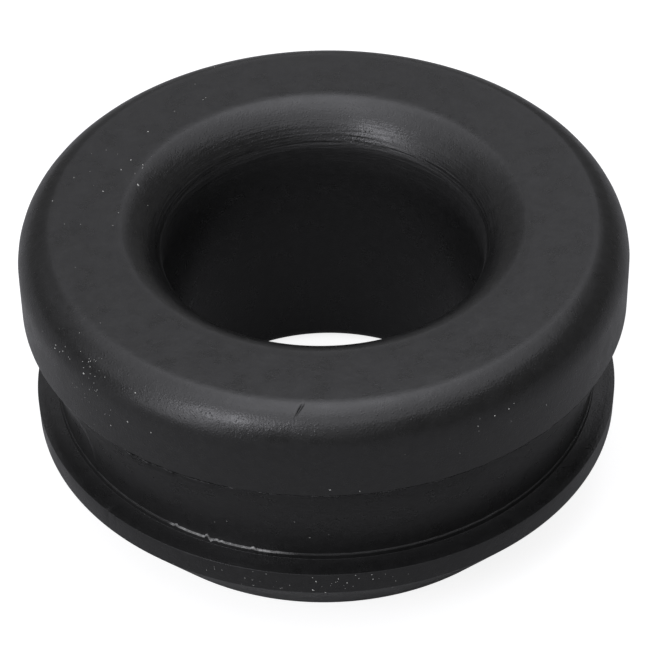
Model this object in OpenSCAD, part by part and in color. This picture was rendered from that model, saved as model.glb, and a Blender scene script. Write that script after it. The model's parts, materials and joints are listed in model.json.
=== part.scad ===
// Push-in rubber grommet: one black moulding, revolved about Z, with its bottom face on Z = 0.
// From the bottom up it has a tapered lead-in, a thin retaining lip, a concave groove that
// grips the edge of a panel hole, and a thick collar with a rounded shoulder. The through bore
// flares out into the flat top face.

/* [Bore] */
// Diameter of the through bore, which grips a 3/4 in tube
bore_d = 19.05; // [12:0.05:21]
// Radius of the flare that leads from the top face into the bore
flare_r = 3.2; // [2.6:0.1:4.2]
// Width of the flare, from the bore wall to the edge of the top face
flare_w = 2.5; // [1.5:0.1:2.5]
// Radius on the bottom edge of the bore
exit_r = 0.9; // [0.2:0.1:1.4]

/* [Groove] */
// Diameter at the foot of the groove, which seats in a 1-1/4 in panel hole
neck_d = 32.4; // [30:0.1:44]
// Height of the groove, from the lip to the lower edge of the collar
groove_h = 6.65; // [5:0.05:8]
// Radius of the concave face of the groove, from the foot to the lower edge of the collar
groove_r = 15; // [10:0.5:30]
// Height of the thin flash ridge that runs round the foot of the groove
flash_h = 0.35; // [0.1:0.05:0.5]
// Width of the flash ridge, from the foot of the groove to its outer edge
flash_w = 0.12; // [0.1:0.02:0.5]

/* [Collar] */
// How far the collar stands out past the foot of the groove
collar_step = 1.9; // [1.3:0.05:5]
// Height of the collar, from its lower edge to the top face
collar_h = 5.4; // [4.5:0.1:8]
// Radius of the rounded shoulder
shoulder_r = 2.4; // [2.1:0.1:3]
// Width of the shoulder, from the outer wall to the edge of the top face
shoulder_w = 2.0; // [1:0.1:2]

/* [Lip] */
// How far the lip stands out past the foot of the groove
lip_step = 1.4; // [1:0.05:4]
// Thickness of the lip at its edge
lip_t = 1.5; // [0.8:0.1:3]

/* [Lead-in] */
// Height of the taper, from the bottom face to the lip
taper_h = 4.25; // [2:0.05:8]
// Width of the taper, from the edge of the lip in to the bottom face
taper_w = 3.45; // [1:0.05:4.5]

/* [Hidden] */
$fn = 128;

bore_rad = bore_d / 2;
neck_rad = neck_d / 2;
collar_rad = neck_rad + collar_step;
lip_rad = neck_rad + lip_step;
tip_rad = lip_rad - taper_w;

// Heights of the levels above the bottom face
lip_z = taper_h + lip_t;
edge_z = lip_z + groove_h;
top_z = edge_z + collar_h;

// The flare and the shoulder are rounds that the flat top face cuts off at their stated widths
function crown(radius, width) = sqrt(radius * radius - pow(radius - width, 2));
flare_z = top_z - crown(flare_r, flare_w);
shoulder_z = top_z - crown(shoulder_r, shoulder_w);

// The groove's arc runs from its foot on the lip to the lower edge of the collar
chord = norm([collar_step, groove_h]);
reach = sqrt(groove_r * groove_r - chord * chord / 4);
groove_x = neck_rad + collar_step / 2 + reach * groove_h / chord;
groove_z = lip_z + groove_h / 2 - reach * collar_step / chord;

module disc(x, z, radius) {
    translate([x, z]) circle(r = radius);
}

// Tapered lead-in and retaining lip, with the rounded bottom edge of the bore
module lip_section() {
    difference() {
        polygon([[bore_rad, 0], [tip_rad, 0], [lip_rad, taper_h], [lip_rad, lip_z], [bore_rad, lip_z]]);
        translate([bore_rad, 0]) square(exit_r);
    }
    disc(bore_rad + exit_r, exit_r, exit_r);
}

// Thin ridge left by the mould at the foot of the groove
module flash_section() {
    translate([neck_rad, lip_z])
        polygon([[-flash_w, 0], [flash_w, 0], [flash_w / 2, flash_h], [-flash_w, flash_h]]);
}

// Collar and neck, with the groove's arc, the shoulder and the flare
module collar_section() {
    difference() {
        intersection() {
            union() {
                polygon([
                    [bore_rad, lip_z], [collar_rad, lip_z], [collar_rad, shoulder_z],
                    [collar_rad - shoulder_r, shoulder_z], [collar_rad - shoulder_r, top_z],
                    [bore_rad + flare_r, top_z], [bore_rad + flare_r, flare_z], [bore_rad, flare_z]
                ]);
                disc(collar_rad - shoulder_r, shoulder_z, shoulder_r);
                disc(bore_rad + flare_r, flare_z, flare_r);
            }
            square([collar_rad, top_z]);
        }
        disc(groove_x, groove_z, groove_r);
    }
}

module grommet() {
    color("#1c1c1d") rotate_extrude() {
        lip_section();
        flash_section();
        collar_section();
    }
}

grommet();
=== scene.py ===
"""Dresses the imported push-in rubber grommet: one black moulding on a plain pale floor."""

import json
import math

import bmesh
import bpy
import numpy as np
from mathutils import Matrix, Vector


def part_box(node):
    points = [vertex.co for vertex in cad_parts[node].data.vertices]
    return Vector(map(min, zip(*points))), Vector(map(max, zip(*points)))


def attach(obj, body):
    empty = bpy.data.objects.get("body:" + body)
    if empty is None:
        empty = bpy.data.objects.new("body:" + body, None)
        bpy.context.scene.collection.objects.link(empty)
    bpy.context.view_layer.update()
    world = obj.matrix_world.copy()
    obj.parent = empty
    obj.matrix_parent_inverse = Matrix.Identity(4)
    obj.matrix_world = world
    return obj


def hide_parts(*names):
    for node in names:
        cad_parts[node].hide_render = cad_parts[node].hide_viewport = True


bl_info = {
    "name": "Push-in rubber grommet",
    "version": (1, 0, 0),
    "blender": (4, 5, 0),
    "location": "3D View > Sidebar > Grommet",
    "description": "Builds a moulded rubber grommet over its packed solid, with its finish and stage",
    "category": "Object",
}

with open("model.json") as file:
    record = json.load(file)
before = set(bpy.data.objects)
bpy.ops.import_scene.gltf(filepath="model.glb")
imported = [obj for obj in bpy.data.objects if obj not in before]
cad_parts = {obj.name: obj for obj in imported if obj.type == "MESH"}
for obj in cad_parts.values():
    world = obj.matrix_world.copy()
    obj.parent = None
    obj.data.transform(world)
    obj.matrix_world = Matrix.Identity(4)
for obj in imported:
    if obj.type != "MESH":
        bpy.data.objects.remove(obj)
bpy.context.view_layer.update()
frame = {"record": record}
MM = 0.001
NODE = "grommet"
BORE_RADIUS = next(m["dims"]["r_mm"] for m in frame["record"]["mounts"] if m["name"] == "bore") * MM


# ---------------------------------------------------------------- helpers

def linear(code):
    """An sRGB hex colour as linear red, green, blue and alpha."""
    parts = [int(code[i:i + 2], 16) / 255 for i in (1, 3, 5)]
    return [c / 12.92 if c <= 0.04045 else ((c + 0.055) / 1.055) ** 2.4 for c in parts] + [1.0]


def node(tree, kind, settings=None, inputs=None):
    """Adds a node; an input's value is a number, a colour or another node's output socket."""
    made = tree.nodes.new(kind)
    for key, value in (settings or {}).items():
        setattr(made, key, value)
    for key, value in (inputs or {}).items():
        socket = made.inputs[key]
        if isinstance(value, bpy.types.NodeSocket):
            tree.links.new(value, socket)
        else:
            socket.default_value = value
    return made


def new_material(name):
    """An empty node material and its tree."""
    material = bpy.data.materials.new(name)
    material.use_nodes = True
    material.node_tree.nodes.clear()
    return material, material.node_tree


def place(name, verts, faces):
    """A mesh object with smooth shading, linked to the scene."""
    mesh = bpy.data.meshes.new(name)
    mesh.from_pydata(verts, [], faces)
    mesh.validate()
    mesh.shade_smooth()
    made = bpy.data.objects.new(name, mesh)
    bpy.context.scene.collection.objects.link(made)
    return made


def speckle(angle, seed):
    """Noise from 0 to 1 that changes at each mesh column, lightly smoothed."""
    rough = np.random.RandomState(seed).uniform(0, 1, len(angle) + 1)
    return 0.7 * rough[1:] + 0.3 * rough[:-1]


def bump_at(angle, centre, half_width):
    """1 at the centre angle, falling smoothly to 0 at half_width degrees either side."""
    away = (angle - centre + 180) % 360 - 180
    return np.clip(1 - (away / half_width) ** 2, 0, 1) ** 2


def plateau(angle, start, end, soft):
    """1 between two angles in degrees, with soft shoulders."""
    middle, half = (start + end) / 2, (end - start) / 2
    away = np.abs((angle - middle + 180) % 360 - 180)
    t = np.clip((half + soft - away) / soft, 0, 1)
    return t * t * (3 - 2 * t)


def ripple(angle, waves, seed, lowest=3):
    """Periodic noise round the axis, about -1 to 1, with that many different waves."""
    rng = np.random.RandomState(seed)
    total = np.zeros_like(angle)
    for k in range(lowest, lowest + waves):
        total += rng.normal() * np.sin(np.radians(angle) * k + rng.uniform(0, 2 * math.pi))
    return total / np.abs(total).max()


# ---------------------------------------------------------------- sizes and finish

class GrommetSizes(bpy.types.PropertyGroup):
    """Sizes of the moulding."""
    flare_radius: bpy.props.FloatProperty(
        name="Flare radius", description="Radius of the flare at the top of the bore",
        default=3.2 * MM, unit="LENGTH", precision=5)
    flare_width: bpy.props.FloatProperty(
        name="Flare width", description="From the bore wall to the top face",
        default=2.5 * MM, unit="LENGTH", precision=5)
    exit_radius: bpy.props.FloatProperty(
        name="Exit radius", description="Radius on the bottom edge of the bore",
        default=0.9 * MM, unit="LENGTH", precision=5)
    neck_radius: bpy.props.FloatProperty(
        name="Neck radius", description="Smallest radius of the groove",
        default=16.2 * MM, unit="LENGTH", precision=5)
    groove_height: bpy.props.FloatProperty(
        name="Groove height", description="From the lip to the parting edge of the collar",
        default=6.65 * MM, unit="LENGTH", precision=5)
    groove_radius: bpy.props.FloatProperty(
        name="Groove radius", description="Radius of the groove's concave face",
        default=15.0 * MM, unit="LENGTH", precision=5)
    flash_height: bpy.props.FloatProperty(
        name="Flash height", description="Height of the ridge at the foot of the groove",
        default=0.35 * MM, unit="LENGTH", precision=5)
    shoulder_radius: bpy.props.FloatProperty(
        name="Shoulder radius", description="Radius of the rounded shoulder",
        default=2.4 * MM, unit="LENGTH", precision=5)
    shoulder_width: bpy.props.FloatProperty(
        name="Shoulder width", description="From the outer wall to the top face",
        default=2.0 * MM, unit="LENGTH", precision=5)
    lip_radius: bpy.props.FloatProperty(
        name="Lip radius", description="Radius of the retaining lip",
        default=17.6 * MM, unit="LENGTH", precision=5)
    lip_thickness: bpy.props.FloatProperty(
        name="Lip thickness", description="Thickness of the lip at its edge",
        default=1.5 * MM, unit="LENGTH", precision=5)
    taper_height: bpy.props.FloatProperty(
        name="Taper height", description="Height of the lead-in taper",
        default=4.25 * MM, unit="LENGTH", precision=5)
    tip_radius: bpy.props.FloatProperty(
        name="Tip radius", description="Outer radius of the bottom face",
        default=14.15 * MM, unit="LENGTH", precision=5)
    front_step: bpy.props.FloatProperty(
        name="Front step", description="Degrees between mesh columns where the marks are",
        default=0.36, min=0.2, max=3)
    back_step: bpy.props.FloatProperty(
        name="Back step", description="Degrees between mesh columns on the plain side",
        default=1.1, min=0.2, max=3)


class GrommetFinish(bpy.types.PropertyGroup):
    """Colours and texture of the rubber and the stage."""
    rubber: bpy.props.FloatVectorProperty(
        name="Rubber", description="Base colour of the moulded rubber",
        subtype="COLOR", size=4, default=linear("#181818"))
    bloom: bpy.props.FloatVectorProperty(
        name="Bloom", description="Colour of the rubber where wax has bloomed to its face",
        subtype="COLOR", size=4, default=linear("#1f1f1f"))
    # the torn flash's colour is also laid faintly along the flash's crest as a painted highlight, and in
    # part stands for the light that the torn stretch catches
    torn: bpy.props.FloatVectorProperty(
        name="Torn flash", description="Colour of the whitened rubber where the flash tore",
        subtype="COLOR", size=4, default=linear("#bcbcba"))
    roughness: bpy.props.FloatProperty(
        name="Roughness", description="Mean roughness of the moulded face", subtype="FACTOR",
        default=0.30, min=0, max=1)
    frosting: bpy.props.FloatProperty(
        name="Frosting", description="Roughness added where the flare turns into the bore",
        subtype="FACTOR", default=0.35, min=0, max=1)
    dust: bpy.props.FloatVectorProperty(
        name="Dust", description="Colour of the flecks of dust",
        subtype="COLOR", size=4, default=linear("#b4b4b0"))
    floor: bpy.props.FloatVectorProperty(
        name="Floor", description="Colour of the paper floor",
        subtype="COLOR", size=4, default=linear("#999999"))
    whiteness: bpy.props.FloatProperty(
        name="Whiteness", description="How far the floor is lifted to white where the camera sees it",
        subtype="FACTOR", default=0.85, min=0, max=1)


# ---------------------------------------------------------------- rubber

def moulded_rubber(finish):
    """Nitrile rubber, black with carbon and pressed in a steel mould. It gives the eye a deep,
    neutral black with wide soft highlights that the mould's fine grain breaks up, turning marks
    and a duller band where the flare meets the bore, and a faint uneven bloom."""
    material, tree = new_material("moulded_nitrile_rubber")
    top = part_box(NODE)[1].z
    where = node(tree, "ShaderNodeTexCoord").outputs["Object"]
    part = node(tree, "ShaderNodeSeparateXYZ", {}, {"Vector": where})
    flat = node(tree, "ShaderNodeCombineXYZ", {}, {"X": part.outputs["X"], "Y": part.outputs["Y"]})
    radius = node(tree, "ShaderNodeVectorMath", {"operation": "LENGTH"}, {0: flat.outputs[0]})
    around = node(tree, "ShaderNodeVectorMath", {"operation": "NORMALIZE"}, {0: flat.outputs[0]})

    # grain of the mould face, drawn 0.12 mm across because the real grain is too fine to show,
    # a softer unevenness of 0.45 mm, and round pimples 0.2 mm apart that the blasted steel left
    grain = node(tree, "ShaderNodeTexNoise", {}, {
        "Vector": where, "Scale": 1 / (0.12 * MM), "Detail": 1.0, "Roughness": 0.5})
    pebble = node(tree, "ShaderNodeTexNoise", {}, {
        "Vector": where, "Scale": 1 / (0.45 * MM), "Detail": 1.0, "Roughness": 0.5})
    cells = node(tree, "ShaderNodeTexVoronoi", {}, {"Vector": where, "Scale": 1 / (0.2 * MM)})
    pimple = node(tree, "ShaderNodeMapRange", {"interpolation_type": "SMOOTHSTEP"}, {
        "Value": cells.outputs["Distance"], "From Min": 0.33, "From Max": 0.0})
    bloom = node(tree, "ShaderNodeTexNoise", {}, {
        "Vector": where, "Scale": 1 / (1.4 * MM), "Detail": 5.0, "Roughness": 0.65})

    # turning marks: streaks that run round the axis, 0.2 mm apart, in the flare and the bore's mouth
    along = node(tree, "ShaderNodeMath", {"operation": "ADD"}, {
        0: radius.outputs["Value"], 1: part.outputs["Z"]})
    level = node(tree, "ShaderNodeMath", {"operation": "MULTIPLY"}, {
        0: along.outputs[0], 1: 1 / (0.2 * MM)})
    raised = node(tree, "ShaderNodeCombineXYZ", {}, {"Z": level.outputs[0]})
    swirl = node(tree, "ShaderNodeVectorMath", {"operation": "MULTIPLY_ADD"}, {
        0: around.outputs[0], 1: (4, 4, 4), 2: raised.outputs[0]})
    marks = node(tree, "ShaderNodeTexNoise", {}, {
        "Vector": swirl.outputs[0], "Scale": 1.0, "Detail": 2.0, "Roughness": 0.5})
    inside = node(tree, "ShaderNodeMapRange", {"interpolation_type": "SMOOTHSTEP"}, {
        "Value": radius.outputs["Value"], "From Min": BORE_RADIUS + 1.875 * MM,
        "From Max": BORE_RADIUS + 0.675 * MM})
    mouth = node(tree, "ShaderNodeMapRange", {"interpolation_type": "SMOOTHSTEP"}, {
        "Value": part.outputs["Z"], "From Min": top - 5.0 * MM, "From Max": top - 2.6 * MM})
    turned = node(tree, "ShaderNodeMath", {"operation": "MULTIPLY"}, {
        0: inside.outputs[0], 1: mouth.outputs[0]})
    # they are deepest where the flare turns into the bore
    deepest = node(tree, "ShaderNodeMapRange", {"interpolation_type": "SMOOTHSTEP"}, {
        "Value": part.outputs["Z"], "From Min": top - 1.2 * MM, "From Max": top - 2.1 * MM,
        "To Min": 0.4, "To Max": 1.0})
    scored = node(tree, "ShaderNodeMath", {"operation": "MULTIPLY"}, {
        0: turned.outputs[0], 1: deepest.outputs[0]})

    # the top face was pressed by a ground plate, smoother than the turned parts
    ground = node(tree, "ShaderNodeMapRange", {"interpolation_type": "SMOOTHSTEP"}, {
        "Value": part.outputs["Z"], "From Min": top - 0.4 * MM, "From Max": top - 0.05 * MM,
        "To Min": 1.0, "To Max": 0.35})

    # the reliefs, laid one over another from the coarsest
    coarse = node(tree, "ShaderNodeBump", {}, {
        "Height": pebble.outputs["Fac"], "Distance": 0.008 * MM, "Strength": 1.0})
    dotted = node(tree, "ShaderNodeBump", {}, {
        "Height": pimple.outputs["Result"], "Distance": 0.009 * MM,
        "Strength": ground.outputs["Result"], "Normal": coarse.outputs[0]})
    fine = node(tree, "ShaderNodeBump", {}, {
        "Height": grain.outputs["Fac"], "Distance": 0.012 * MM,
        "Strength": ground.outputs["Result"], "Normal": dotted.outputs[0]})
    rings = node(tree, "ShaderNodeBump", {}, {
        "Height": marks.outputs["Fac"], "Distance": 0.05 * MM, "Strength": scored.outputs[0],
        "Normal": fine.outputs[0]})

    # the face is unevenly rough; below the flare the turned core left it frosted, and that
    # fades down the bore
    rough = node(tree, "ShaderNodeMapRange", {}, {
        "Value": bloom.outputs["Fac"], "From Min": 0.3, "From Max": 0.7,
        "To Min": finish.roughness - 0.06, "To Max": finish.roughness + 0.06})
    frost = node(tree, "ShaderNodeMapRange", {"interpolation_type": "SMOOTHSTEP"}, {
        "Value": part.outputs["Z"], "From Min": top - 1.8 * MM, "From Max": top - 2.2 * MM,
        "To Min": 0.0, "To Max": finish.frosting})
    dull = node(tree, "ShaderNodeMath", {"operation": "MULTIPLY_ADD"}, {
        0: frost.outputs["Result"], 1: turned.outputs[0], 2: rough.outputs["Result"]})

    # wax that has bloomed to the face greys it in faint patches half a millimetre across
    patches = node(tree, "ShaderNodeTexNoise", {}, {
        "Vector": where, "Scale": 1 / (0.5 * MM), "Detail": 3.0, "Roughness": 0.6})
    waxed = node(tree, "ShaderNodeMapRange", {}, {
        "Value": patches.outputs["Fac"], "From Min": 0.38, "From Max": 0.72})
    skin = node(tree, "ShaderNodeMix", {"data_type": "RGBA"}, {
        0: waxed.outputs["Result"], 6: list(finish.rubber), 7: list(finish.bloom)})
    # torn flash is stretched until it whitens; the same whitening is partly a painted highlight that
    # stands in for the light the flash's crest catches, faintly across the front and in part on the torn
    # stretch
    pale = node(tree, "ShaderNodeAttribute", {"attribute_name": "pale"})
    skin_with_whitening_and_painted_highlight = node(tree, "ShaderNodeMix", {"data_type": "RGBA"}, {
        0: pale.outputs["Fac"], 6: skin.outputs[2], 7: list(finish.torn)})
    shader = node(tree, "ShaderNodeBsdfPrincipled", {}, {
        "Base Color": skin_with_whitening_and_painted_highlight.outputs[2], "Roughness": dull.outputs[0],
        "IOR": 1.5, "Normal": rings.outputs[0]})
    node(tree, "ShaderNodeOutputMaterial", {}, {"Surface": shader.outputs["BSDF"]})
    return material


def mineral_dust(finish):
    """Fine pale powder, dull and rough, that a soft black rubber picks up from its packing."""
    material, tree = new_material("pale_mineral_dust")
    shader = node(tree, "ShaderNodeBsdfPrincipled", {}, {
        "Base Color": list(finish.dust), "Roughness": 0.9})
    node(tree, "ShaderNodeOutputMaterial", {}, {"Surface": shader.outputs["BSDF"]})
    return material


# ---------------------------------------------------------------- moulding

def arc(cx, cz, radius, start, end, count=160):
    """Points on a circle of the section, angles in degrees from the outward direction."""
    a = np.radians(np.linspace(start, end, count))
    return np.stack([cx + radius * np.cos(a), cz + radius * np.sin(a)], 1)


def line(p, q, count=160):
    """Points on a straight stretch of the section."""
    t = np.linspace(0, 1, count)[:, None]
    return np.array(p) * (1 - t) + np.array(q) * t


# The drafts that let the collar's wall and the lip's rim leave the mould, how far the flash
# stands out from the groove, and how far the collar is kept inside the solid's box, because its
# face is uneven
WALL_DRAFT = 0.03 * MM
RIM_DRAFT = 0.05 * MM
FLASH_WIDTH = 0.1 * MM
INSET = 0.008 * MM
# Spacing of the points that the section is traced with, before the mesh's rows are picked
TRACE = 0.01 * MM


def section(s):
    """The closed section as radius and height: up the bore, over the top, down the outside and
    back along the base."""
    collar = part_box(NODE)[1].x - INSET
    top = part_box(NODE)[1].z
    lip_z = s.taper_height + s.lip_thickness
    edge_z = lip_z + s.groove_height
    flare_drop = math.sqrt(s.flare_radius ** 2 - (s.flare_radius - s.flare_width) ** 2)
    flare_turn = math.degrees(math.asin(flare_drop / s.flare_radius))
    shoulder_drop = math.sqrt(s.shoulder_radius ** 2 - (s.shoulder_radius - s.shoulder_width) ** 2)
    shoulder_turn = math.degrees(math.asin(shoulder_drop / s.shoulder_radius))
    edge_r = collar - WALL_DRAFT
    chord = math.hypot(edge_r - s.neck_radius, s.groove_height)
    reach = math.sqrt(s.groove_radius ** 2 - chord ** 2 / 4)
    groove_x = (s.neck_radius + edge_r) / 2 + reach * s.groove_height / chord
    groove_z = (lip_z + edge_z) / 2 - reach * (edge_r - s.neck_radius) / chord
    turn_at = lambda z: math.degrees(math.asin((z - groove_z) / s.groove_radius))
    groove_r = lambda z: groove_x - s.groove_radius * math.cos(math.radians(turn_at(z)))
    flash_z = lip_z + s.flash_height
    fin_r = groove_r(flash_z) + FLASH_WIDTH
    b = BORE_RADIUS
    parts = [
        ("bore", line((b, s.exit_radius), (b, top - flare_drop), 400)),
        ("flare", arc(b + s.flare_radius, top - flare_drop, s.flare_radius, 180, 180 - flare_turn)),
        ("top", line((b + s.flare_width, top), (collar - s.shoulder_width, top), 200)),
        ("shoulder", arc(collar - s.shoulder_radius, top - shoulder_drop, s.shoulder_radius,
                         shoulder_turn, 0)),
        ("wall", line((collar, top - shoulder_drop), (edge_r, edge_z))),
        ("groove", arc(groove_x, groove_z, s.groove_radius,
                       180 - turn_at(edge_z), 180 - turn_at(flash_z + 0.02 * MM), 300)),
        ("flash", line((groove_r(flash_z), flash_z + 0.01 * MM), (fin_r, flash_z), 12)),
        ("flash", line((fin_r, flash_z), (fin_r, lip_z + 0.1 * MM), 40)),
        ("root", line((fin_r, lip_z + 0.1 * MM), (fin_r, lip_z), 12)),
        ("root", line((fin_r, lip_z), (fin_r + 0.1 * MM, lip_z), 12)),
        ("lip", line((fin_r + 0.1 * MM, lip_z), (s.lip_radius, lip_z), 80)),
        ("rim", line((s.lip_radius, lip_z), (s.lip_radius - RIM_DRAFT, s.taper_height))),
        ("taper", line((s.lip_radius - RIM_DRAFT, s.taper_height), (s.tip_radius, 0), 200)),
        ("base", line((s.tip_radius, 0), (b + s.exit_radius, 0), 200)),
        ("exit", arc(b + s.exit_radius, s.exit_radius, s.exit_radius, 270, 180, 60)),
    ]
    points = np.concatenate([p for _, p in parts])
    names = np.concatenate([[n] * len(p) for n, p in parts])
    keep = np.linalg.norm(points - np.roll(points, 1, 0), axis=1) > 1e-8
    return points[keep], names[keep]


def soften(points, names, radius, step, close):
    """Rounds every corner of the section a little, the flash's by half as much and its root not
    at all, and spaces the points, closer on tight bends and in the bands that hold fine marks."""
    span = np.linalg.norm(np.roll(points, -1, 0) - points, axis=1)
    total = span.sum()
    at = np.concatenate([[0], np.cumsum(span)[:-1]])
    fine = np.arange(0, total, TRACE)
    loop = lambda v: np.interp(fine, np.append(at, total), np.append(v, v[0]))
    r, z = loop(points[:, 0]), loop(points[:, 1])
    reach = int(4 * radius / TRACE)
    away = np.arange(-reach, reach + 1) * TRACE

    def smooth(v, spread):
        kernel = np.exp(-0.5 * (away / spread) ** 2)
        return np.convolve(np.concatenate([v[-reach:], v, v[:reach]]), kernel / kernel.sum(), "valid")

    crisp, sharp = (np.interp(fine, at, np.where(names == n, 1.0, 0.0)) for n in ("flash", "root"))
    r, z = (smooth(v, radius) * (1 - crisp - sharp) + smooth(v, radius / 2) * crisp + v * sharp
            for v in (r, z))
    heading = np.unwrap(np.arctan2(np.gradient(z), np.gradient(r)))
    bend = np.abs(np.gradient(heading))
    weight = TRACE / step + bend / math.radians(13)
    for r0, r1, z0, z1, gap in close:
        inside = (r > r0) & (r < r1) & (z > z0) & (z < z1)
        weight = np.where(inside, np.maximum(weight, TRACE / gap), weight)
    count = int(weight.sum())
    pick = np.interp(np.arange(count) / count * weight.sum(), np.cumsum(weight), np.arange(len(fine)))
    take = lambda v: np.interp(pick, np.arange(len(fine)), v)
    tag = names[np.clip(np.searchsorted(at, take(fine)) - 1, 0, len(names) - 1)]
    return take(r), take(z), take(heading), tag


# Turning rings in the flare: height on the axis, half-width below and above, and how far each
# stands out, in mm; the first is a broad swell where the flare turns into the bore
RINGS = ((15.55, 0.45, 0.65, 0.08), (16.28, 0.05, 0.05, 0.012), (16.02, 0.04, 0.04, 0.008),
         (15.65, 0.05, 0.05, 0.012), (15.42, 0.04, 0.04, 0.006))
# Where the three parts of the mould ring met, in degrees round the axis
MOULD_JOINTS = (-57, 66, 184)
# The crack under the collar: half its height, and how deep it can go
CRACK_HALF = 0.036 * MM
CRACK_DEEPEST = 0.3 * MM


def close_bands(s):
    """Bands that need close rows: least and most radius, least and most height, and the gap."""
    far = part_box(NODE)[1]
    lip_z = s.taper_height + s.lip_thickness
    edge_z = lip_z + s.groove_height
    rings = (BORE_RADIUS - 1.5 * MM, BORE_RADIUS + 1.5 * MM, far.z - 2.6 * MM, far.z - 1.05 * MM,
             0.085 * MM)
    cut = (far.x - 1.9 * MM, far.x - 1.05 * MM, far.z - 0.45 * MM, far.z + 0.2 * MM, 0.055 * MM)
    crack = (far.x - 0.6 * MM, far.x + 0.2 * MM, edge_z - 0.065 * MM, edge_z + 0.055 * MM,
             0.009 * MM)
    under_collar = (far.x - 0.6 * MM, far.x + 0.2 * MM, edge_z - 0.2 * MM, edge_z + 0.3 * MM,
                    0.09 * MM)
    crest = (s.neck_radius, s.neck_radius + 0.2 * MM, lip_z + 0.22 * MM, lip_z + 0.37 * MM,
             0.03 * MM)
    return rings, cut, crack, under_collar, crest


def near_height(z, at, width):
    """1 at a height, falling away over a width, both in metres."""
    return np.exp(-((z - at) / width) ** 2)


def flash_marks(angle, z, tag, lip_z):
    """The fin of flash, torn and whitened at the left, with two jags and a ragged stretch: how far its
    points stand out and rise, and how far they are whitened. The whitening is torn rubber at the left
    and partly a painted highlight on the crest, faint across the front."""
    fin = tag == "flash"
    grit = speckle(angle, 7)
    torn = plateau(angle, -33.5, 0, 1.5) * plateau(angle, -50, -13, 8) * (0.3 + 0.5 * grit)
    height = (0.92 + 0.06 * ripple(angle, 90, 6, 30) + 0.12 * torn * grit
              + 0.4 * bump_at(angle, -33, 0.6) + 0.8 * bump_at(angle, -25.7, 0.6)
              - 0.7 * bump_at(angle, -24.8, 0.5)
              + 0.7 * plateau(angle, -23.5, -16, 2) * np.clip(grit - 0.45, 0, 1))
    rise = fin * (z - lip_z)[None] * (np.clip(height, 0.1, 1.8)[:, None] - 1)
    shift = 0.05 * MM * fin[None] * (grit * plateau(angle, -23, -13, 3))[:, None]
    # whitening on the crest: torn rubber on the torn stretch, partly painted highlight there, and a
    # faint painted highlight along the crest across the front
    crest_whitening_and_painted_highlight = fin * near_height(z, lip_z + 0.34 * MM, 0.05 * MM)
    faint = 0.035 * plateau(angle, -45, 30, 20)
    return shift, rise, crest_whitening_and_painted_highlight[None] * np.maximum(torn, faint)[:, None]


def crack_marks(angle, z, tag, edge_z):
    """A fine ragged crack round the lower edge of the collar, with three nicks at the left: how
    far its points stand out and rise."""
    seam = np.isin(tag, ("wall", "groove"))
    nicks = bump_at(angle, -38.4, 1.3) + 0.6 * bump_at(angle, -34.5, 1) + 0.5 * bump_at(angle, -29, 0.9)
    depth = (0.08 + 0.07 * ripple(angle, 190, 8, 30)) * plateau(angle, -39, 75, 6)
    depth += 0.16 * plateau(angle, -38, -21, 2) * speckle(angle, 14)
    depth += 0.2 * nicks
    inside = (np.abs(z - edge_z) < CRACK_HALF) & seam
    shift = -np.clip(MM * depth, 0, CRACK_DEEPEST)[:, None] * inside[None]
    wander = 0.035 * ripple(angle, 120, 9, 12)
    ragged = np.clip(ripple(angle, 60, 15, 20) + 0.6, 0, 1)
    gape = 0.08 * plateau(angle, -36, -22, 2) * ragged + 0.15 * nicks
    near = (seam * near_height(z, edge_z, 0.3 * MM))[None]
    return shift, MM * (wander[:, None] - gape[:, None] * (z < edge_z)[None]) * near


def joint_marks(angle, z, tag, edge_z):
    """Fine ridges across the groove where the three parts of the mould ring met."""
    in_groove = (tag == "groove") * np.clip((edge_z - z) / (0.3 * MM), 0, 1)
    across = sum(bump_at(angle, joint, 0.7) for joint in MOULD_JOINTS)
    return 0.06 * MM * in_groove[None] * across[:, None]


def ring_marks(angle, z, tag):
    """Rings that the mould's turned core left in the flare."""
    shift = np.zeros((len(angle), len(z)))
    for at, below, above, high in RINGS:
        width = np.where(z < at * MM, below * MM, above * MM)
        ring = near_height(z, at * MM, width) * np.isin(tag, ("flare", "bore"))
        shift += high * MM * ring[None] * (1 + 0.25 * ripple(angle, 9, int(at * 10), 1)[:, None])
    return shift


def shoulder_cut(angle, r, tag):
    """A wedge-shaped cut across the outer edge of the top face, just left of the front."""
    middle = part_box(NODE)[1].x - 1.44 * MM
    across = 0.45 * ((r - middle) / MM)[None] + 0.26 * (angle[:, None] + 5.2)
    half = 0.045 + 0.07 * np.clip((middle + 0.24 * MM - r) / (0.5 * MM), 0, 1)[None]
    cut = np.clip(1 - np.abs(across) / half, 0, 1)
    cut *= np.exp(-(((r - middle) / (0.36 * MM)) ** 4))[None]
    return -0.08 * MM * cut * np.isin(tag, ("top", "shoulder"))[None]


def lip_chips(angle, r, z, tag, lip_radius, lip_z):
    """Small chips in the upper edge of the lip at the left."""
    chips = plateau(angle, -46, -34, 5) * np.clip(ripple(angle, 190, 12, 20) - 0.2, 0, 1)
    edge = np.exp(-(((r - lip_radius) ** 2 + (z - lip_z) ** 2) / (0.2 * MM) ** 2))
    return -0.16 * MM * (edge * np.isin(tag, ("lip", "rim")))[None] * chips[:, None]


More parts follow.
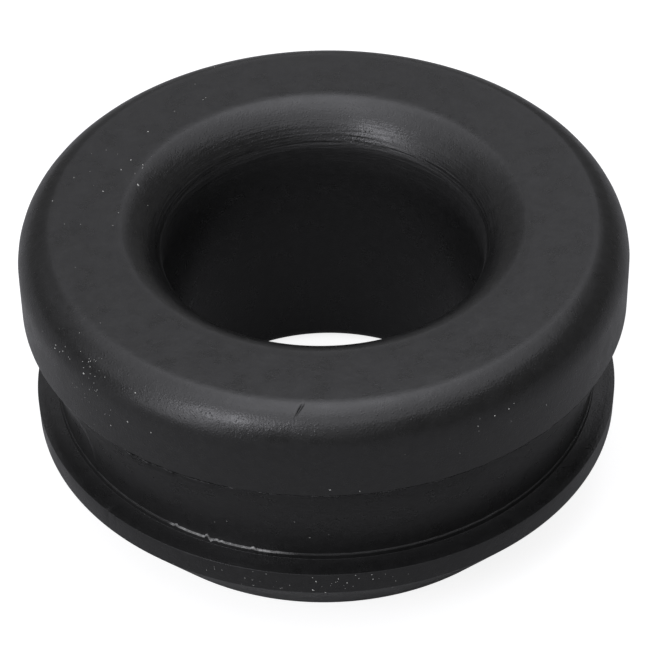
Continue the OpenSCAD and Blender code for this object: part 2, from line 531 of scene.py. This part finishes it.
class GROMMET_OT_moulding(bpy.types.Operator):
    """Builds the grommet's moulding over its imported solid"""
    bl_idname = "grommet.moulding"
    bl_label = "Moulding"

    def execute(self, context):
        s = context.scene.grommet_sizes
        lip_z = s.taper_height + s.lip_thickness
        edge_z = lip_z + s.groove_height
        points, names = section(s)
        r, z, heading, tag = soften(points, names, 0.035 * MM, 1.1 * MM, close_bands(s))
        out_r, out_z = -np.sin(heading), np.cos(heading)
        # columns are closest across the cut, close over the marked front and wide at the back
        front = np.concatenate([np.arange(-72, -7.6, s.front_step),
                                np.arange(-7.6, -2.8, s.front_step / 3),
                                np.arange(-2.8, 74, s.front_step)])
        turn = 360 - front[-1] + front[0]
        back = np.linspace(front[-1], front[0] + 360, int(turn / s.back_step) + 1)
        angle = np.concatenate([front, back[1:-1]])
        columns, rows = len(angle), len(r)
        # the corner at the flash's root stays sharp: its rows are drawn together
        root = np.flatnonzero(tag == "root")
        for v, meeting in ((z, lip_z), (r, r[root[0]])):
            off = v[root] - meeting
            v[root] = meeting + off * np.where(off < 0.03 * MM, 0.12, 1)
        # outward shift and rise of each point, column by row, and how far it is whitened, partly as a
        # painted highlight on the flash's crest
        shift, rise, pale = flash_marks(angle, z, tag, lip_z)
        sunk, moved = crack_marks(angle, z, tag, edge_z)
        shift += sunk
        rise += moved
        shift += joint_marks(angle, z, tag, edge_z)
        shift += ring_marks(angle, z, tag)
        shift += shoulder_cut(angle, r, tag)
        shift += lip_chips(angle, r, z, tag, s.lip_radius, lip_z)
        # the whole moulding is very slightly uneven
        shift += 0.01 * MM * (ripple(angle, 5, 3, 2)[:, None] - 2) * (tag != "base")[None]
        a = np.radians(angle)[:, None]
        rr = r[None] + shift * out_r[None]
        zz = np.clip(z[None] + shift * out_z[None] + rise, 0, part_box(NODE)[1].z)
        verts = np.stack([rr * np.sin(a), -rr * np.cos(a), zz], -1).reshape(-1, 3)
        i, j = np.meshgrid(np.arange(columns), np.arange(rows), indexing="ij")
        i2, j2 = (i + 1) % columns, (j + 1) % rows
        quads = np.stack([i * rows + j, i * rows + j2, i2 * rows + j2, i2 * rows + j], -1).reshape(-1, 4)
        body = place("grommet_moulding", verts.tolist(), quads.tolist())
        # the crack's own faces are plane, so that its edges stay crisp
        crisp = np.isin(tag, ("wall", "groove")) & (np.abs(z - edge_z) < 0.055 * MM)
        body.data.polygons.foreach_set("use_smooth", np.tile(~(crisp & np.roll(crisp, -1)), columns))
        # the whitening goes to the material: torn flash, and in part a painted highlight on the flash's
        # crest
        body.data.attributes.new("pale", "FLOAT", "POINT").data.foreach_set("value", pale.ravel())
        body.data.materials.append(moulded_rubber(context.scene.grommet_finish))
        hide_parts(NODE)
        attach(body, "root")
        return {"FINISHED"}


# ---------------------------------------------------------------- dust

# Patches of dust: angle round the axis in degrees (0 at the front), radius and height in mm, how
# far it spreads in degrees and in mm, how many flecks it has, and its smallest and largest fleck in mm
DUSTY = (
    (-108, 12.5, 17.8, 8, 1.5, 7, 0.09, 0.14), (-36, 18.1, 15.0, 4, 1.0, 3, 0.09, 0.12),
    (0, 18.1, 12.8, 4, 0.3, 2, 0.08, 0.11), (32, 18.1, 15.2, 4, 0.6, 3, 0.08, 0.1),
    (0, 17.6, 4.9, 6, 0.4, 6, 0.08, 0.12), (-55, 17.9, 16.4, 6, 0.2, 3, 0.1, 0.13),
    (-48, 17.8, 16.4, 3, 0.5, 16, 0.035, 0.07), (-48, 18.1, 14.9, 3.5, 0.6, 18, 0.035, 0.07),
    (-58, 17.6, 16.7, 8, 0.7, 14, 0.035, 0.07), (-105, 13.5, 17.8, 14, 1.6, 12, 0.035, 0.07),
    (0, 17.6, 4.9, 9, 0.4, 26, 0.035, 0.07), (-14, 17.6, 4.9, 9, 0.5, 10, 0.035, 0.07),
    (-115, 15.0, 17.5, 25, 1.4, 10, 0.035, 0.07), (30, 18.1, 15.0, 12, 0.9, 8, 0.035, 0.07),
    (-20, 16.3, 8.5, 14, 1.6, 8, 0.035, 0.07),
)


class GROMMET_OT_dust(bpy.types.Operator):
    """Lays the pale flecks of dust that cling to the rubber"""
    bl_idname = "grommet.dust"
    bl_label = "Dust"

    def execute(self, context):
        body = bpy.data.objects.get("grommet_moulding")
        if body is None:
            raise RuntimeError("build the moulding before its dust")
        rng = np.random.RandomState(11)
        spots = []
        for a, r, z, turn, away, count, least, most in DUSTY:
            for _ in range(count):
                spots.append((a + rng.normal() * turn, r + rng.normal() * away * (z > 17),
                              z + rng.normal() * away * (z < 17.7), rng.uniform(least, most)))
        made = bmesh.new()
        # no fleck may stand out of the solid's box
        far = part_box(NODE)[1]
        for a, r, z, size in spots:
            turn = math.radians(a)
            near = Vector((r * math.sin(turn), -r * math.cos(turn), z)) * MM
            _, point, normal, _ = body.closest_point_on_mesh(near)
            fleck = bmesh.ops.create_icosphere(made, subdivisions=1, radius=0.5 * size * MM)["verts"]
            stretch = Vector((rng.uniform(0.8, 1.7), rng.uniform(0.5, 1.0), 0.45))
            spin = Matrix.Rotation(rng.uniform(0, 6.3), 3, "Z")
            turned = normal.to_track_quat("Z", "Y").to_matrix() @ spin
            for v in fleck:
                v.co = point + turned @ (v.co * rng.uniform(0.75, 1.25) * stretch)
                v.co.z = min(v.co.z, far.z)
                v.co.xy *= min(1, (far.x - 0.005 * MM) / v.co.xy.length)
        mesh = bpy.data.meshes.new("dust_flecks")
        made.to_mesh(mesh)
        made.free()
        dust = bpy.data.objects.new("dust_flecks", mesh)
        context.scene.collection.objects.link(dust)
        mesh.materials.append(mineral_dust(context.scene.grommet_finish))
        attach(dust, "root")
        return {"FINISHED"}


# ---------------------------------------------------------------- stage

# Round softboxes: name, brightness of the cloth, diameter and distance in metres, and where each
# stands, as degrees above the floor and degrees round the axis from the front. Their brightness
# was fitted to the shading wanted by least squares, and rounded.
LAMPS = (
    ("canopy", 1.0, 1.4, 0.75, 90, 0),
    ("overhead_softbox", 1.0, 0.42, 0.7, 90, 0),
    ("high_back", 1.1, 0.42, 0.8, 70, 180),
    ("high_left", 0.7, 0.42, 0.8, 70, -60),
    ("key_softbox", 6.0, 0.3, 0.8, 42, -38),
    ("low_key", 1.5, 0.42, 0.8, 30, -45),
    ("left_fill", 1.6, 0.5, 0.8, 10, -50),
    ("left_softbox", 0.8, 0.42, 0.8, 35, -80),
    ("left_back_card", 0.2, 0.42, 0.8, 35, -120),
    ("front_fill", 0.45, 0.42, 0.8, 30, 0),
    ("front_high", 0.4, 0.42, 0.8, 52, 10),
    ("back_low", 0.4, 0.42, 0.8, 25, 180),
    ("back_left_card", 0.2, 0.3, 0.8, 41, -158),
    ("back_right_card", 0.6, 0.3, 0.8, 41, 158),
)
# Brightness of the studio's walls
WALLS = 0.16
# Slightly cool, as the lamps' tubes are
LAMP_TINT = linear("#f8f8ff")[:3]
# The camera: degrees above the floor, degrees it is rolled, its distance from the point that it
# looks at, the height of that point on the grommet's axis, and its lens and sensor in millimetres
CAMERA_ELEVATION = 40.88
CAMERA_ROLL = 1.113
CAMERA_DISTANCE = 208.55 * MM
CAMERA_AIM = 9.43 * MM
CAMERA_LENS = 191.46
CAMERA_SENSOR = 36.0


def matt_paper(finish):
    """Matt coated paper, pressed smooth: a plain pale ground with no gloss of its own.

    The camera alone sees it lifted to white, with the soft shadow that the grommet casts on it.
    Glossy rays see the paper as it is: no piece is metal or glass, and a white floor mirrored in
    the black neck, taper and bore would make them far too pale."""
    material, tree = new_material("matt_paper")
    ray = node(tree, "ShaderNodeLightPath")
    paper = node(tree, "ShaderNodeBsdfDiffuse", {}, {"Color": list(finish.floor)})
    lift = node(tree, "ShaderNodeMath", {"operation": "MULTIPLY"}, {
        0: ray.outputs["Is Camera Ray"], 1: finish.whiteness})
    white = node(tree, "ShaderNodeEmission", {}, {"Color": (1, 1, 1, 1), "Strength": lift.outputs[0]})
    both = node(tree, "ShaderNodeAddShader", {}, {0: paper.outputs[0], 1: white.outputs[0]})
    node(tree, "ShaderNodeOutputMaterial", {}, {"Surface": both.outputs[0]})
    return material


def studio():
    """The dim walls round the stage, which the camera alone sees as white."""
    world = bpy.data.worlds.new("studio")
    world.use_nodes = True
    tree = world.node_tree
    tree.nodes.clear()
    ray = node(tree, "ShaderNodeLightPath")
    sky = node(tree, "ShaderNodeMix", {"data_type": "RGBA"}, {
        0: ray.outputs["Is Camera Ray"], 6: (WALLS, WALLS, WALLS, 1), 7: (1, 1, 1, 1)})
    back = node(tree, "ShaderNodeBackground", {}, {"Color": sky.outputs[2], "Strength": 1.0})
    node(tree, "ShaderNodeOutputWorld", {}, {"Surface": back.outputs[0]})
    return world


def add_softbox(scene, name, glow, size, away, height, angle):
    """A round softbox that faces the grommet, with power worked out from its cloth's brightness."""
    lamp = bpy.data.lights.new(name, "AREA")
    lamp.shape = "DISK"
    lamp.size = size
    lamp.color = LAMP_TINT
    lamp.energy = glow * math.pi * math.pi * (size / 2) ** 2
    made = bpy.data.objects.new(name, lamp)
    scene.collection.objects.link(made)
    up, turn = math.radians(height), math.radians(angle)
    towards = Vector((math.cos(up) * math.sin(turn), -math.cos(up) * math.cos(turn), math.sin(up)))
    made.location = towards * away
    made.rotation_euler = towards.to_track_quat("Z", "Y").to_euler()


def add_camera(scene):
    """The camera in front of the grommet, looking down on it with a slight roll."""
    elevation, roll = math.radians(CAMERA_ELEVATION), math.radians(CAMERA_ROLL)
    forward = Vector((0, math.cos(elevation), -math.sin(elevation)))
    level_right = Vector((1, 0, 0))
    level_up = Vector((0, math.sin(elevation), math.cos(elevation)))
    right = level_right * math.cos(roll) - level_up * math.sin(roll)
    up = level_up * math.cos(roll) + level_right * math.sin(roll)
    at = Vector((0, 0, CAMERA_AIM)) - forward * CAMERA_DISTANCE
    data = bpy.data.cameras.new("camera")
    data.lens = CAMERA_LENS
    data.sensor_width = CAMERA_SENSOR
    data.clip_start = 0.01
    camera = bpy.data.objects.new("camera", data)
    scene.collection.objects.link(camera)
    camera.matrix_world = Matrix((
        (right.x, up.x, -forward.x, at.x), (right.y, up.y, -forward.y, at.y),
        (right.z, up.z, -forward.z, at.z), (0, 0, 0, 1)))
    scene.camera = camera


class GROMMET_OT_stage(bpy.types.Operator):
    """Adds the paper floor, the lights, the world and the camera"""
    bl_idname = "grommet.stage"
    bl_label = "Stage"

    def execute(self, context):
        scene = context.scene
        floor = place("paper_floor", [(-1, -1, 0), (1, -1, 0), (1, 1, 0), (-1, 1, 0)], [(0, 1, 2, 3)])
        floor.data.materials.append(matt_paper(scene.grommet_finish))
        scene.world = studio()
        for name, glow, size, away, height, angle in LAMPS:
            add_softbox(scene, name, glow, size, away, height, angle)
        add_camera(scene)
        scene.view_settings.view_transform = "Standard"
        return {"FINISHED"}


class GROMMET_PT_panel(bpy.types.Panel):
    """Lists the steps that build the grommet"""
    bl_idname = "GROMMET_PT_panel"
    bl_label = "Grommet"
    bl_space_type = "VIEW_3D"
    bl_region_type = "UI"
    bl_category = "Grommet"

    def draw(self, context):
        for group in (context.scene.grommet_sizes, context.scene.grommet_finish):
            for key in group.__annotations__:
                self.layout.prop(group, key)
        for step in STEPS:
            self.layout.operator(step.bl_idname)


STEPS = (GROMMET_OT_moulding, GROMMET_OT_dust, GROMMET_OT_stage)
CLASSES = (GrommetSizes, GrommetFinish, *STEPS, GROMMET_PT_panel)


def register():
    for cls in CLASSES:
        bpy.utils.register_class(cls)
    bpy.types.Scene.grommet_sizes = bpy.props.PointerProperty(type=GrommetSizes)
    bpy.types.Scene.grommet_finish = bpy.props.PointerProperty(type=GrommetFinish)


def unregister():
    del bpy.types.Scene.grommet_finish
    del bpy.types.Scene.grommet_sizes
    for cls in reversed(CLASSES):
        bpy.utils.unregister_class(cls)


def main():
    register()
    bpy.ops.grommet.moulding()
    bpy.ops.grommet.dust()
    bpy.ops.grommet.stage()


if __name__ == "__main__":
    main()
